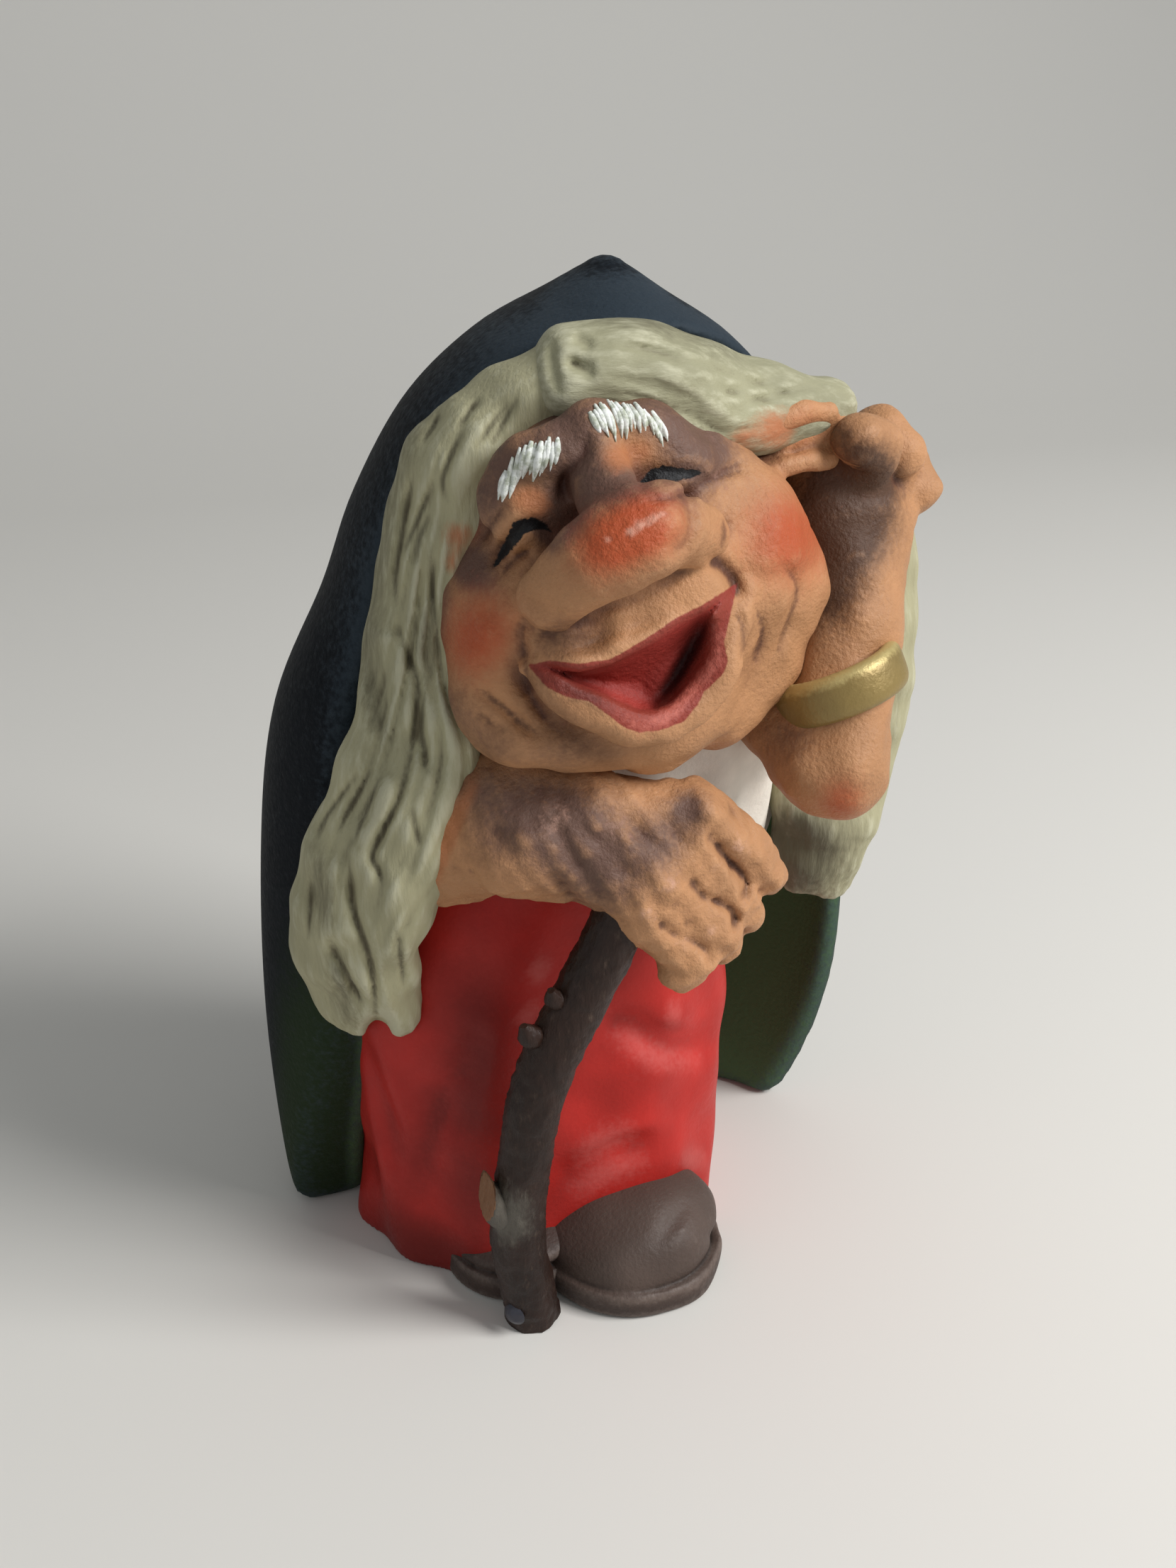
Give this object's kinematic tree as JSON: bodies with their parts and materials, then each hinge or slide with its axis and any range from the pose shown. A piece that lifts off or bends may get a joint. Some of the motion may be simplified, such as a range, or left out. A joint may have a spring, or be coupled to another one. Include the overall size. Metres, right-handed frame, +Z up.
{
  "type": "troll figure",
  "caption": "Laughing hooded folk troll leaning on a crooked twig, with a hand cupped behind the ear; a painted standing ornament.",
  "frame": {"origin": "on the standing face, under the middle of the skirt", "axes": "+Z up, the figure faces -Y, its right hand with the stick is towards -X"},
  "size_m": [0.1163, 0.0983, 0.17],
  "materials": {
    "bark": "dark twig with its bark on",
    "nail_steel": "dull steel with a worn bright rim",
    "skin": "matte tan paint with orange blush and a brown wash in the creases",
    "gold_paint": "satin gold paint",
    "cloak_paint": "matte blue-black paint fading to dark green at the front and hem",
    "hair": "matte grey-khaki paint with a brown wash in the grooves",
    "blouse_paint": "matte off-white paint",
    "skirt_paint": "satin red paint with paler brushed folds",
    "shoe_paint": "matte grey-brown paint"
  },
  "bodies": {
    "root": {"walking_stick": "bark", "stick_nail": "nail_steel", "right_arm": "skin", "left_arm": "skin", "bracelet": "gold_paint", "cloak": "cloak_paint", "head": "skin", "right_hair": "hair", "left_fringe": "hair", "left_side_hair": "hair", "blouse": "blouse_paint", "skirt": "skirt_paint", "left_shoe": "shoe_paint", "right_shoe": "shoe_paint"}
  },
  "joints": []
}
